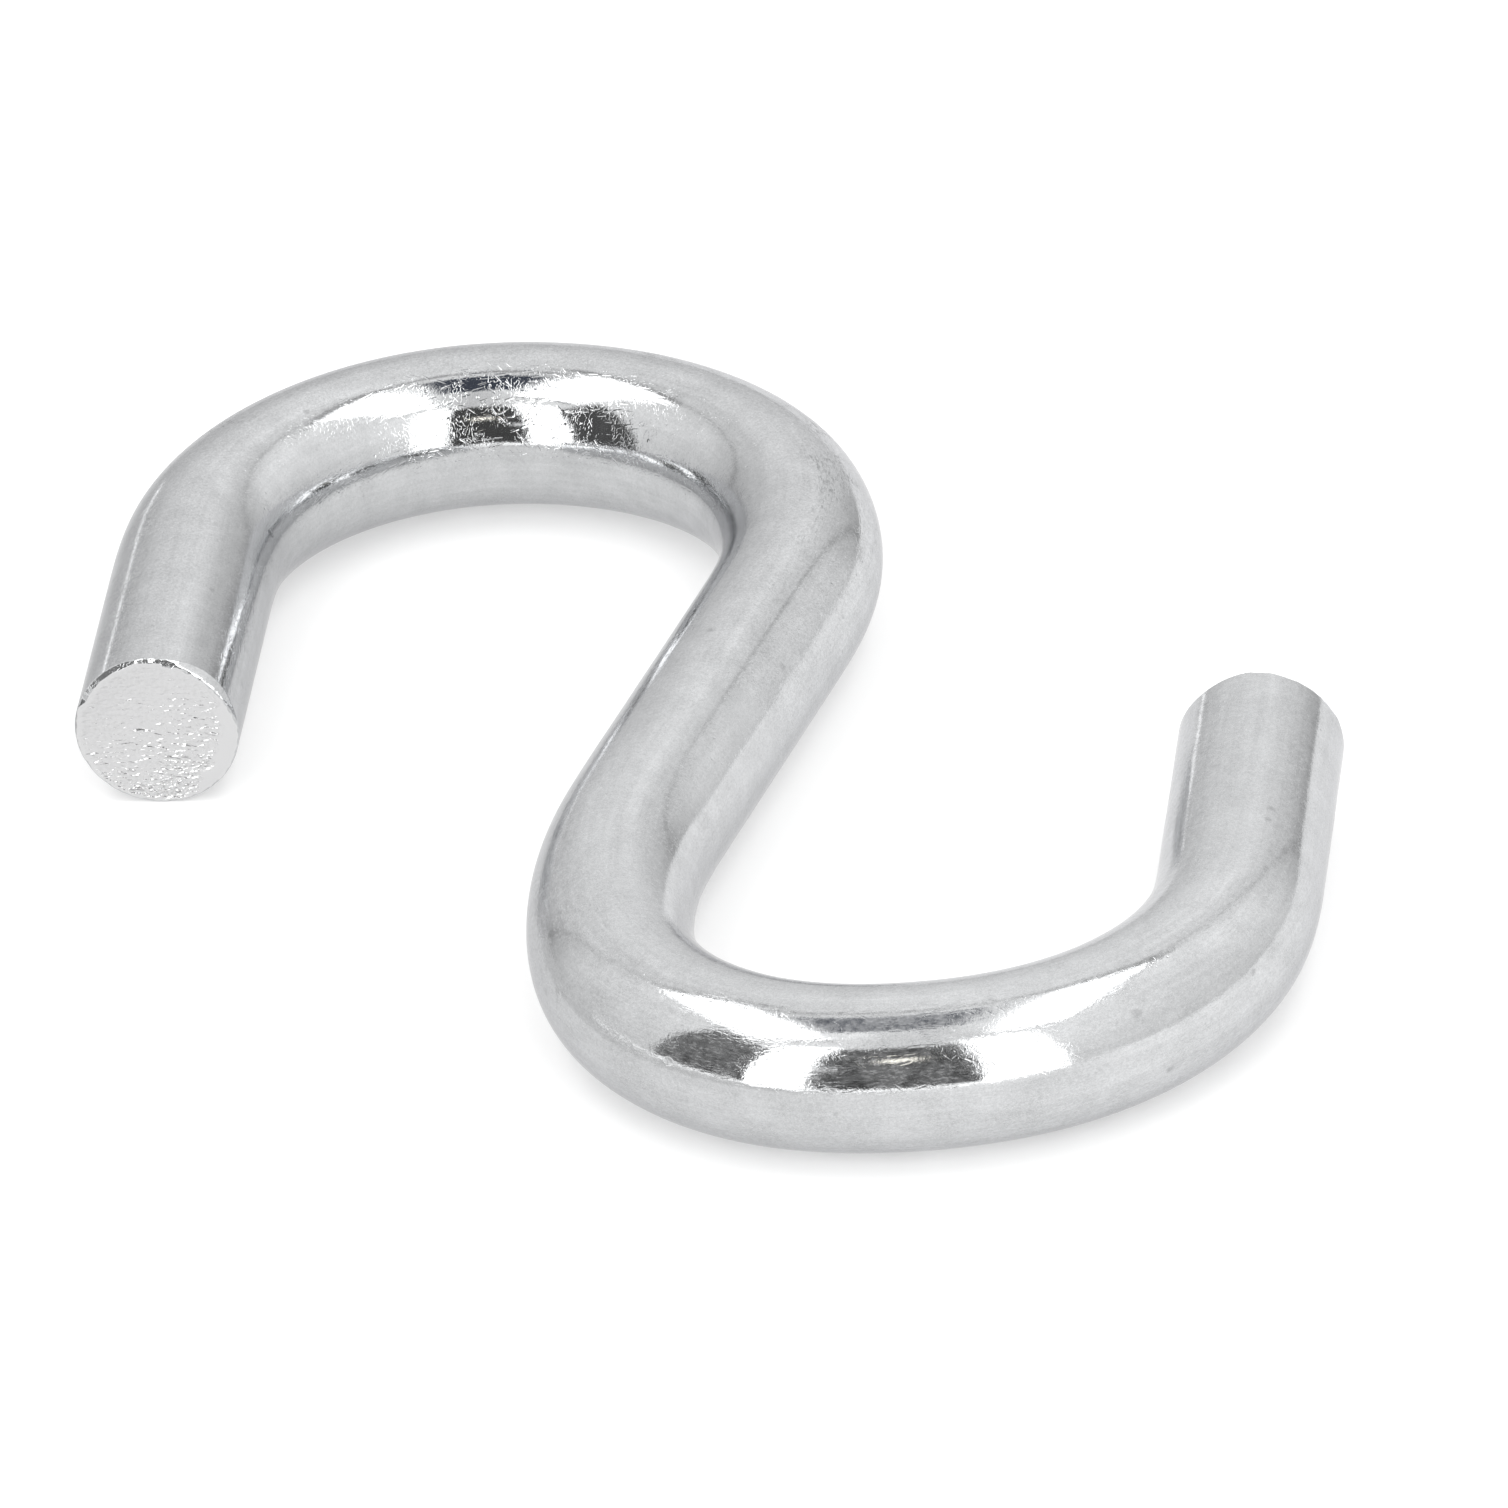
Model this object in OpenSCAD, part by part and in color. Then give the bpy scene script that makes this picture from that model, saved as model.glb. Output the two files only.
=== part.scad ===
// S hook: one round bar, bent into two opposed open hooks and sheared off at both ends.
// It lies flat. The bar rests on z = 0, the origin is midway between the hooks,
// and +Y runs along the load line through the middle of both hooks.

/* [Bar] */
// Diameter of the round bar
bar_d = 5; // [3:0.1:8]

/* [Hooks] */
// Inside radius of each hook, where the ring or rail bears
eye_r = 6.9; // [4:0.1:14]
// Angle that the bar turns through in each hook, in degrees
hook_turn = 193; // [150:1:215]
// Straight length between the two hooks
shank_len = 15.8; // [6:0.1:60]
// Straight length from the end of each bend to the cut end
tail_len = 9; // [3:0.1:20]

/* [Cut ends] */
// Depth to which the shear draws the bar's side down at the cut
roll_depth = 0.2; // [0.1:0.05:0.4]
// Length of bar over which the side is drawn down
roll_len = 0.4; // [0.3:0.05:1.2]
// How far the centre of the drawn-down rim lies off the bar's axis
roll_shift = 0.8; // [0.5:0.1:3]
// Where round the bar the blade went in: 0 is the inner side, 90 is the top
blade_angle = 47; // [-90:1:90]

/* [Hidden] */
$fn = 96;

zinc = [0.78, 0.79, 0.8];

// Radius of the bar's centreline round each hook
bend_r = eye_r + bar_d / 2;
// Angle between the shank and the load line, which passes through both bend centres
shank_lean = atan2(bend_r, shank_len / 2);

// The drawn-down side starts this far outside the bar, so that it runs out in a clean line
roll_lead = 0.02;
// Radius of the arc in which the side turns down to the cut
roll_arc_r = (roll_len * roll_len + roll_depth * roll_depth) / (2 * roll_depth);
// Outer radius of the ring that the blade leaves, about its own shifted centre
roll_ring_r = bar_d / 2 + roll_shift + roll_lead;
// How far the cutting shape runs past the surfaces that it cuts
overrun = 0.5;

// A straight length of the bar along +X, from the origin
module straight_bar(length) {
    rotate([0, 90, 0])
        cylinder(d = bar_d, h = length);
}

// The metal that the shear draws down, as a ring about the +X axis that ends at x = 0.
// Its arc is nearest the bar's axis on the side where the blade went in.
module shear_roll() {
    rotate([0, 90, 0])
        rotate([0, 0, 90 + blade_angle])
            translate([-roll_shift, 0, 0])
                rotate_extrude()
                    translate([roll_ring_r - roll_arc_r, -roll_len])
                        difference() {
                            square([roll_arc_r + overrun, roll_len + overrun]);
                            circle(r = roll_arc_r);
                        }
}

// The straight tail of a hook along +X, from the bend to the sheared end
module tail() {
    difference() {
        straight_bar(tail_len);
        translate([tail_len, 0, 0])
            shear_roll();
    }
}

// One hook, as it goes on from the +X end of a shank that lies along X
module hook() {
    translate([shank_len / 2, bend_r, 0]) {
        rotate_extrude(angle = hook_turn, start = -90)
            translate([bend_r, 0])
                circle(d = bar_d);
        rotate([0, 0, hook_turn])
            translate([0, -bend_r, 0])
                tail();
    }
}

// The whole bar: the shank, and a hook at each end of it, one turned half round from the other
module s_hook() {
    color(zinc)
        translate([0, 0, bar_d / 2])
            rotate([0, 0, 90 - shank_lean]) {
                translate([-shank_len / 2, 0, 0])
                    straight_bar(shank_len);
                for (half_turn = [0, 180])
                    rotate([0, 0, half_turn])
                        hook();
            }
}

s_hook();
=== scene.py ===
"""A zinc-plated S hook bent from round bar, dressed and lit in a small studio.

The bar is one swept mesh whose centreline, sections and sheared ends follow the sizes held by SHook.
Every pattern on it is laid out on the bar as it was before bending, so it runs round the bends with it.
"""

import logging
import math
from dataclasses import dataclass
from enum import Enum
from types import SimpleNamespace
from typing import Any, Union

import bpy
from mathutils import Matrix, Vector

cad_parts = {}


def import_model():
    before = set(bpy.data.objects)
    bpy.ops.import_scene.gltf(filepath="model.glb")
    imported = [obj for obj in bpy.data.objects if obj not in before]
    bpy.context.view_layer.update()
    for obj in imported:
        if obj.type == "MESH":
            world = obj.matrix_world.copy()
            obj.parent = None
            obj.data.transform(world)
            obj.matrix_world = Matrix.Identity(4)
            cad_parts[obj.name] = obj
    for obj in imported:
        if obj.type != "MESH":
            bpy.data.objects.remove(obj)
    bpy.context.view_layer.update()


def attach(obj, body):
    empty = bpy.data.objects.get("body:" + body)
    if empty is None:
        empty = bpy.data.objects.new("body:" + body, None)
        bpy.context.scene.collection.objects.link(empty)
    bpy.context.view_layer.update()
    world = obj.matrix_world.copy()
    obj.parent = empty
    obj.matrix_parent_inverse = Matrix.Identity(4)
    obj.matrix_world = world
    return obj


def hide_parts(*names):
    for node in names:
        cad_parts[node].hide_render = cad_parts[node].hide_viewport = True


LOG = logging.getLogger("s_hook")
MM = 0.001
MICRON = 0.000001
BAR_RADIUS = 2.5 * MM
WHITE = (1.0, 1.0, 1.0, 1.0)
UNBENT = "unbent"
ACROSS = "across"
TORN = "torn"

Feed = Union["Wire", bpy.types.NodeSocket, float, int, tuple, None]


class Sum(Enum):
    """The sums that a math node is asked for, by what they do."""

    ADD = "ADD"
    TAKE = "SUBTRACT"
    TIMES = "MULTIPLY"
    OVER = "DIVIDE"
    ROOT = "SQRT"
    SIZE = "ABSOLUTE"
    SIGN = "SIGN"
    LEAST = "MINIMUM"
    MOST = "MAXIMUM"
    SINE = "SINE"
    COSINE = "COSINE"
    ANGLE = "ARCTAN2"
    WHOLE = "FLOOR"
    PART = "FRACT"
    ABOVE = "GREATER_THAN"


@dataclass(frozen=True)
class Wire:
    """One output of a node, with the sums that can be made of it."""

    bench: "NodeBench"
    socket: bpy.types.NodeSocket

    def __add__(self, other: Feed) -> "Wire":
        """This plus another."""
        return self.bench.sum(Sum.ADD, self, other)

    def __sub__(self, other: Feed) -> "Wire":
        """This less another."""
        return self.bench.sum(Sum.TAKE, self, other)

    def __rsub__(self, other: Feed) -> "Wire":
        """Another less this."""
        return self.bench.sum(Sum.TAKE, other, self)

    def __mul__(self, other: Feed) -> "Wire":
        """This times another."""
        return self.bench.sum(Sum.TIMES, self, other)

    def __truediv__(self, other: Feed) -> "Wire":
        """This over another."""
        return self.bench.sum(Sum.OVER, self, other)

    def __rtruediv__(self, other: Feed) -> "Wire":
        """Another over this."""
        return self.bench.sum(Sum.OVER, other, self)

    def __abs__(self) -> "Wire":
        """This without its sign."""
        return self.bench.sum(Sum.SIZE, self)

    def at_least(self, other: Feed) -> "Wire":
        """The larger of this and another."""
        return self.bench.sum(Sum.MOST, self, other)


class NodeBench:
    """Places, sets and joins the nodes of one tree."""

    def __init__(self, tree: bpy.types.NodeTree) -> None:
        """Takes the tree that gets the nodes."""
        self.tree = tree

    def place(self, kind: str, **settings: Any) -> bpy.types.Node:
        """Adds one node.

        Args:
            kind: the node's type name.
            **settings: the node's own properties.

        Returns:
            The new node.
        """
        node = self.tree.nodes.new(kind)
        for name, value in settings.items():
            setattr(node, name, value)
        return node

    def feed(self, node: bpy.types.Node, socket: Union[str, int], value: Feed) -> None:
        """Gives one input of a node its value or its link.

        Args:
            node: the node.
            socket: the input's name or number.
            value: a wire or socket to join, or a plain value.
        """
        target = node.inputs[socket]
        if isinstance(value, Wire):
            value = value.socket
        if isinstance(value, bpy.types.NodeSocket):
            self.tree.links.new(value, target)
        elif value is not None:
            target.default_value = value

    def wire(self, node: bpy.types.Node, socket: Union[str, int] = 0) -> Wire:
        """One output of a node as a wire."""
        return Wire(self, node.outputs[socket])

    def use(self, kind: str, feeds: dict, out: Union[str, int] = 0, **settings: Any) -> Wire:
        """Adds a node, feeds it and gives one of its outputs.

        Args:
            kind: the node's type name.
            feeds: input name or number to value.
            out: the output's name or number.
            **settings: the node's own properties.

        Returns:
            The output as a wire.
        """
        node = self.place(kind, **settings)
        for socket, value in feeds.items():
            self.feed(node, socket, value)
        return self.wire(node, out)

    def sum(self, what: Sum, first: Feed, second: Feed = None) -> Wire:
        """Adds a math node for one sum of one or two terms."""
        return self.use("ShaderNodeMath", {0: first, 1: second}, operation=what.value)

    def ramp(self, value: Feed, low: Feed, high: Feed, start: Feed, end: Feed, smooth: bool = False) -> Wire:
        """Carries a value from one range to another and stops at its ends.

        Args:
            value: the value.
            low: where the first range starts.
            high: where it ends.
            start: the answer at low.
            end: the answer at high.
            smooth: True for a soft start and end.

        Returns:
            The answer.
        """
        feeds = {0: value, 1: low, 2: high, 3: start, 4: end}
        kind = "SMOOTHSTEP" if smooth else "LINEAR"
        return self.use("ShaderNodeMapRange", feeds, interpolation_type=kind, clamp=True)

    def vector(self, x: Feed = 0.0, y: Feed = 0.0, z: Feed = 0.0) -> Wire:
        """Makes a vector of three values."""
        return self.use("ShaderNodeCombineXYZ", {0: x, 1: y, 2: z})

    def parts(self, vector: Feed) -> list[Wire]:
        """The three values of a vector."""
        node = self.use("ShaderNodeSeparateXYZ", {0: vector}).socket.node
        return [self.wire(node, number) for number in range(3)]

    def scaled(self, vector: Feed, scale: Feed) -> Wire:
        """A vector times one number."""
        return self.use("ShaderNodeVectorMath", {0: vector, "Scale": scale}, operation="SCALE")

    def moved(self, vector: Feed, step: Feed) -> Wire:
        """A vector plus another."""
        return self.use("ShaderNodeVectorMath", {0: vector, 1: step}, operation="ADD")

    def noise(self, place: Feed, seed: Feed, detail: float = 2.0, rough: float = 0.5) -> Wire:
        """Adds smooth noise, about 0 to 1, one wave to a unit, with finer and rougher waves on it."""
        feeds = {"Vector": place, "W": seed, "Scale": 1.0, "Detail": detail, "Roughness": rough}
        return self.use("ShaderNodeTexNoise", feeds, "Fac", noise_dimensions="4D")

    def bumped(self, height: Feed) -> Wire:
        """The normal of a surface that stands up by a height in micrometres."""
        return self.use("ShaderNodeBump", {"Height": height, "Distance": MICRON, "Strength": 1.0}, "Normal")


class Wires(SimpleNamespace):
    """Wires by name, with their bench: a tree's inputs, and what is known of one point."""

    bench: NodeBench


@dataclass(frozen=True)
class Fade:
    """How one value follows another: it goes from start to end while the other goes from low to high."""

    low: float
    high: float
    start: float = 0.0
    end: float = 1.0
    smooth: bool = False

    def of(self, value: Wire) -> Wire:
        """The value that follows the one given."""
        return value.bench.ramp(value, self.low, self.high, self.start, self.end, self.smooth)


class EffectGroup:
    """A shader effect that several finishes share, built once as a node group."""

    made: dict[str, bpy.types.NodeTree] = {}
    name = "effect"
    inputs: tuple[str, ...] = ("Place",)
    output = "Mask"

    def tree(self) -> bpy.types.NodeTree:
        """Gives the group, built on the first call.

        Returns:
            The node group.
        """
        if self.name not in EffectGroup.made:
            tree = bpy.data.node_groups.new(self.name, "ShaderNodeTree")
            for label in self.inputs:
                kind = "NodeSocketVector" if label == "Place" else "NodeSocketFloat"
                tree.interface.new_socket(name=label, in_out="INPUT", socket_type=kind)
            tree.interface.new_socket(name=self.output, in_out="OUTPUT", socket_type="NodeSocketFloat")
            bench = NodeBench(tree)
            source = bench.place("NodeGroupInput")
            given = Wires(bench=bench, **{label.lower(): bench.wire(source, label) for label in self.inputs})
            bench.feed(bench.place("NodeGroupOutput"), self.output, self.draw(given))
            EffectGroup.made[self.name] = tree
        return EffectGroup.made[self.name]

    def draw(self, given: Wires) -> Wire:
        """Builds the effect from the group's inputs."""
        raise NotImplementedError


class Mottle(EffectGroup):
    """Soft patches, as a plating bath leaves them."""

    name = "plating_mottle"
    inputs = ("Place", "Size", "Seed")
    output = "Patch"

    def draw(self, given: Wires) -> Wire:
        """Noise in patches of the given size."""
        place = given.bench.scaled(given.place, 1.0 / given.size)
        return given.bench.noise(place, given.seed, detail=3.0, rough=0.6)


class DrawnLines(EffectGroup):
    """Fine lines along the bar, as a drawing die leaves them."""

    name = "drawn_lines"
    inputs = ("Place", "Width", "Length", "Seed")
    output = "Line"

    def draw(self, given: Wires) -> Wire:
        """Stretches noise along the bar.

        Args:
            given: the group's inputs.

        Returns:
            The noise, about 0 to 1.
        """
        along, side, up = given.bench.parts(given.place)
        place = given.bench.vector(along / given.length, side / given.width, up / given.width)
        return given.bench.noise(place, given.seed, detail=2.0, rough=0.6)


class Pits(EffectGroup):
    """Small round pits scattered over a surface."""

    name = "pits"
    inputs = ("Place", "Spacing", "Share", "Seed")
    output = "Pit"
    narrowest = 0.08
    wider = 0.32
    bowl = Fade(0.3, 1.0, 1.0, 0.0, smooth=True)

    def draw(self, given: Wires) -> Wire:
        """Sinks one pit in a share of the cells, each of its own width.

        Args:
            given: the group's inputs.

        Returns:
            How deep in a pit the place is, 0 to 1.
        """
        bench = given.bench
        cell = bench.place("ShaderNodeTexVoronoi", voronoi_dimensions="4D", feature="F1")
        bench.feed(cell, "Vector", bench.scaled(given.place, 1.0 / given.spacing))
        bench.feed(cell, "W", given.seed)
        bench.feed(cell, "Scale", 1.0)
        pick, width, _ = bench.parts(bench.wire(cell, "Color"))
        reach = width * self.wider + self.narrowest
        hollow = self.bowl.of(bench.wire(cell, "Distance") / reach)
        return hollow * bench.sum(Sum.ABOVE, given.share, pick)


class Scratches(EffectGroup):
    """Straight fine scratches, all near one angle to the bar."""

    name = "scratches"
    inputs = ("Place", "Angle", "Length", "Spacing", "Width", "Share", "Seed")
    output = "Scratch"
    lane_shift = 0.37
    lane_edge = 0.2
    lane_room = 0.6
    most_drift = 0.7
    groove = Fade(0.3, 1.0, 1.0, 0.0, smooth=True)
    ends = Fade(0.2, 0.48, 1.0, 0.0, smooth=True)

    def draw(self, given: Wires) -> Wire:
        """Draws one scratch in a share of the cells of a turned grid.

        Args:
            given: the group's inputs.

        Returns:
            How deep in a scratch the place is, 0 to 1.
        """
        bench = given.bench
        along, side, up = bench.parts(given.place)
        round_bar = bench.sum(Sum.ANGLE, up, side) * BAR_RADIUS
        cos, sin = bench.sum(Sum.COSINE, given.angle), bench.sum(Sum.SINE, given.angle)
        run = (along * cos + round_bar * sin) / given.length
        lane = (round_bar * cos - along * sin) / given.spacing
        run = run + bench.sum(Sum.WHOLE, lane) * self.lane_shift
        corner = bench.vector(bench.sum(Sum.WHOLE, run), bench.sum(Sum.WHOLE, lane), given.seed)
        dice = bench.use("ShaderNodeTexWhiteNoise", {"Vector": corner}, "Color", noise_dimensions="3D")
        pick, offset, slope = bench.parts(dice)
        within = bench.sum(Sum.PART, run)
        drift = (within - 0.5) * (slope - 0.5) * self.most_drift
        middle = bench.sum(Sum.PART, lane) - self.lane_edge - offset * self.lane_room - drift
        line = self.groove.of(abs(middle) * given.spacing / given.width)
        line = line * self.ends.of(abs(within - 0.5))
        return line * bench.sum(Sum.ABOVE, given.share, pick)


@dataclass(frozen=True)
class Pattern:
    """One effect as a finish uses it: its values follow Place, in the order of the effect's inputs."""

    name: str
    effect: type[EffectGroup]
    values: tuple[float, ...]

    def on(self, place: Wire) -> Wire:
        """The pattern's value at a place."""
        feeds = dict(zip(self.effect.inputs, (place,) + self.values))
        return place.bench.use("ShaderNodeGroup", feeds, self.effect.output, node_tree=self.effect().tree())


def cleared(owner: Union[bpy.types.Material, bpy.types.World]) -> NodeBench:
    """Empties the node tree of a material or a world.

    Args:
        owner: the material or the world.

    Returns:
        A bench to fill it on.
    """
    owner.use_nodes = True
    owner.node_tree.nodes.clear()
    return NodeBench(owner.node_tree)


def put_in(name: str, data: Any) -> bpy.types.Object:
    """Puts a mesh, a light or a camera in the scene.

    Args:
        name: the object's name.
        data: what it shows.

    Returns:
        The object.
    """
    placed = bpy.data.objects.new(name, data)
    bpy.context.scene.collection.objects.link(placed)
    return placed


def new_material(name: str) -> tuple[bpy.types.Material, NodeBench, bpy.types.Node]:
    """Starts a material with a metal shader joined to its output.

    Args:
        name: the material's name.

    Returns:
        The material, its bench and its shader.
    """
    material = bpy.data.materials.new(name)
    bench = cleared(material)
    shader = bench.place("ShaderNodeBsdfPrincipled")
    bench.feed(bench.place("ShaderNodeOutputMaterial"), "Surface", shader.outputs["BSDF"])
    return material, bench, shader


@dataclass(frozen=True)
class ZincPlate:
    """Bright zinc plate over drawn steel: a clear mirror under fine grain, pits, scratches and tool scuffs.

    The bar's second hook is rubbed: hazier than the first, with its small marks softened. Heights and
    depths of marks are in micrometres.
    """

    colour: tuple[float, float, float] = (0.668, 0.676, 0.684)
    edge_tint: tuple[float, float, float, float] = (0.80, 0.80, 0.81, 1.0)
    patterns: tuple[Pattern, ...] = (
        Pattern("patch", Mottle, (1.1 * MM, 3.0)),
        Pattern("broad", Mottle, (4.2 * MM, 11.0)),
        Pattern("ripple", Mottle, (0.26 * MM, 17.0)),
        Pattern("grain", Mottle, (0.05 * MM, 5.0)),
        Pattern("flecks", Mottle, (0.13 * MM, 27.0)),
        Pattern("wear", Mottle, (0.7 * MM, 19.0)),
        Pattern("rub", Mottle, (2.2 * MM, 21.0)),
        Pattern("rub_streaks", DrawnLines, (0.06 * MM, 0.26 * MM, 8.0)),
        Pattern("lines", DrawnLines, (0.16 * MM, 5.0 * MM, 2.0)),
        Pattern("smear", DrawnLines, (0.06 * MM, 0.17 * MM, 33.0)),
        Pattern("bands", DrawnLines, (0.5 * MM, 6.0 * MM, 41.0)),
        Pattern("pit", Pits, (0.60 * MM, 0.16, 7.0)),
        Pattern("prick", Pits, (0.21 * MM, 0.22, 14.0)),
        Pattern("scratch", Scratches, (0.70, 0.40 * MM, 0.24 * MM, 0.036 * MM, 0.22, 1.0)),
        Pattern("cross", Scratches, (-0.12, 0.48 * MM, 0.20 * MM, 0.042 * MM, 0.34, 2.0)),
    )
    rubbed: Fade = Fade(-5.0 * MM, 10.0 * MM, smooth=True)
    rubbed_marks: float = 0.7
    rubbed_speckle: float = 0.3
    speckle: float = 0.75
    fleck: float = 0.45
    inner_speckle: Fade = Fade(0.0, 0.7, 0.0, 0.5)
    streak: float = 0.17
    band: float = 0.16
    patch_shade: Fade = Fade(0.35, 0.65, 0.0, 0.10)
    pit_shade: float = 0.20
    scuff_shade: float = 0.30
    haze_shade: float = 0.28
    haze: float = 0.02
    burr_haze: float = 0.11
    cloudy: Fade = Fade(0.40, 0.60, 0.0, 0.15)
    streaky: Fade = Fade(0.48, 0.68, 0.0, 0.26)
    streaky_patch: Fade = Fade(0.36, 0.60, 0.35, 1.0)
    top: Fade = Fade(0.68, 0.82, 0.0, 0.14)
    top_ripple: Fade = Fade(0.38, 0.56, 0.4, 1.2)
    roughness: float = 0.055
    rougher: Fade = Fade(0.35, 0.65, 0.0, 0.07)
    mark_roughness: float = 0.05
    scuff_roughness: float = 0.15
    burr_roughness: float = 0.04
    seat: float = 24.7 * MM
    off_seat: Fade = Fade(3.6 * MM, 6.0 * MM, 1.0, 0.3, smooth=True)
    web_size: float = 0.17 * MM
    web_seed: float = 23.0
    web_line: Fade = Fade(0.0, 0.035, 1.0, 0.0)
    web_wear: Fade = Fade(0.42, 0.60)
    scuffed: tuple[Fade, ...] = (Fade(0.04, 0.20, smooth=True), Fade(0.93, 0.99, 1.0, 0.0))
    scuffed_bend: tuple[Fade, ...] = (
        Fade(6.0 * MM, 10.0 * MM, smooth=True),
        Fade(33.0 * MM, 39.0 * MM, 1.0, 0.0, smooth=True),
    )
    scuffed_rub: Fade = Fade(0.50, 0.60)
    scuffed_streak: Fade = Fade(0.48, 0.62)
    scuffed_up: Fade = Fade(0.0, 0.6 * MM)
    grain_height: float = 1.1
    ripple_height: float = 2.6
    patch_height: float = 5.0
    line_height: float = 0.35
    web_height: float = 2.2
    pit_depth: float = 6.0
    prick_depth: float = 8.5
    mark_depth: float = 3.4
    scuff_depth: float = 5.0

    def survey(self, bench: NodeBench) -> Wires:
        """Lays every pattern on the unbent bar and finds how a point of it lies.

        Args:
            bench: the material's bench.

        Returns:
            The patterns by name, with the point's place and what follows from it.
        """
        place = bench.use("ShaderNodeAttribute", {}, "Vector", attribute_name=UNBENT)
        at = Wires(bench=bench, **{pattern.name: pattern.on(place) for pattern in self.patterns})
        at.along, side, at.up = bench.parts(place)
        at.far = abs(at.along)
        at.inner = side * bench.sum(Sum.SIGN, at.along) / BAR_RADIUS
        at.burr = bench.use("ShaderNodeAttribute", {}, "Fac", attribute_name=TORN)
        at.rubbed = self.rubbed.of(at.along)
        at.crisp = 1.0 - at.rubbed * self.rubbed_marks
        web = bench.noise(bench.scaled(place, 1.0 / self.web_size), self.web_seed, detail=1.0)
        web = self.web_line.of(abs(web - 0.5))
        at.web = web * self.web_wear.of(at.wear) * at.crisp
        off_seat = abs(at.far - self.seat)
        at.marks = at.scratch.at_least(at.cross) * at.crisp * self.off_seat.of(off_seat)
        at.scuff = self.scuffs(at) * at.crisp
        at.cloud = self.clouds(at)
        return at

    def scuffs(self, at: Wires) -> Wire:
        """Rubbed streaks on the outside of the bends, where the bar ran against the bending tool.

        Args:
            at: what is known of the point.

        Returns:
            How scuffed the place is, 0 to 1.
        """
        scuff = self.scuffed_streak.of(at.rub_streaks) * self.scuffed_rub.of(at.rub)
        for fade in self.scuffed:
            scuff = scuff * fade.of(at.inner * -1.0)
        for fade in self.scuffed_bend:
            scuff = scuff * fade.of(at.far)
        return scuff * self.scuffed_up.of(at.up)

    def clouds(self, at: Wires) -> Wire:
        """The haze on the rubbed hook: soft clouds, smears along the bar and a dull top.

        Args:
            at: what is known of the point.

        Returns:
            How much of the plate is hazed over, 0 to 1.
        """
        cloud = self.cloudy.of(at.patch * 0.5 + at.ripple * 0.5)
        cloud = cloud + self.streaky.of(at.smear) * self.streaky_patch.of(at.patch)
        top = self.top.of(at.up / BAR_RADIUS)
        return (cloud + top * self.top_ripple.of(at.ripple)) * at.rubbed

    def shade(self, at: Wires) -> Wire:
        """How light the plate's colour is.

        Args:
            at: what is known of the point.

        Returns:
            The share of the colour, about 1.
        """
        shade = 1.0 - self.patch_shade.of(at.patch)
        shade = shade - at.pit * self.pit_shade - at.scuff * self.scuff_shade
        calm = self.inner_speckle.of(at.inner) * (1.0 - at.rubbed)
        speckled = 1.0 - at.rubbed * self.rubbed_speckle - calm
        shade = shade - ((at.grain - 0.5) * self.speckle + (at.flecks - 0.5) * self.fleck) * speckled
        shade = shade - (at.lines - 0.5) * self.streak - (at.bands - 0.5) * self.band
        return shade - at.cloud * self.haze_shade

    def relief(self, at: Wires) -> Wire:
        """How high the plate stands.

        Args:
            at: what is known of the point.

        Returns:
            The height, in micrometres.
        """
        height = at.grain * self.grain_height + at.ripple * self.ripple_height + at.patch * self.patch_height
        height = height + at.lines * self.line_height + at.web * self.web_height
        height = height - at.pit * self.pit_depth - at.prick * at.crisp * self.prick_depth
        return height - at.marks * self.mark_depth - at.scuff * self.scuff_depth

    def material(self) -> bpy.types.Material:
        """Builds the finish.

        Returns:
            The material.
        """
        material, bench, shader = new_material("zinc_plate")
        at = self.survey(bench)
        bench.feed(shader, "Base Color", bench.scaled(self.colour, self.shade(at)))
        bench.feed(shader, "Metallic", 1.0 - self.haze - at.cloud - at.burr * self.burr_haze)
        rough = self.rougher.of(at.broad) + self.roughness + at.marks * self.mark_roughness
        rough = rough + at.scuff * self.scuff_roughness + at.burr * self.burr_roughness
        bench.feed(shader, "Roughness", rough)
        bench.feed(shader, "Normal", bench.bumped(self.relief(at)))
        shader.inputs["Specular Tint"].default_value = self.edge_tint
        return material


@dataclass(frozen=True)
class TornGrain:
    """Raised grains of one size that lie level across a torn face, most of them low down.

    Their height is in micrometres.
    """

    seed: float
    length: float
    width: float
    height: float
    rise: Fade
    patch_share: float
    base: float
    up_reach: float
    side_reach: float
    where: Fade

    def relief(self, side: Wire, up: Wire, patch: Wire) -> Wire:
        """How high the grains stand, in micrometres.

        Args:
            side: the point's place across the face.
            up: its place up the face.
            patch: the face's soft patches, which the grains keep to.

        Returns:
            Their height.
        """
        place = side.bench.vector(side * -1.0 / self.length, up / self.width)
        grain = self.rise.of(side.bench.noise(place, self.seed, detail=0.6))
        gathered = patch * self.patch_share + self.base - up / self.up_reach - side / self.side_reach
        return grain * self.where.of(gathered) * self.height


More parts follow.
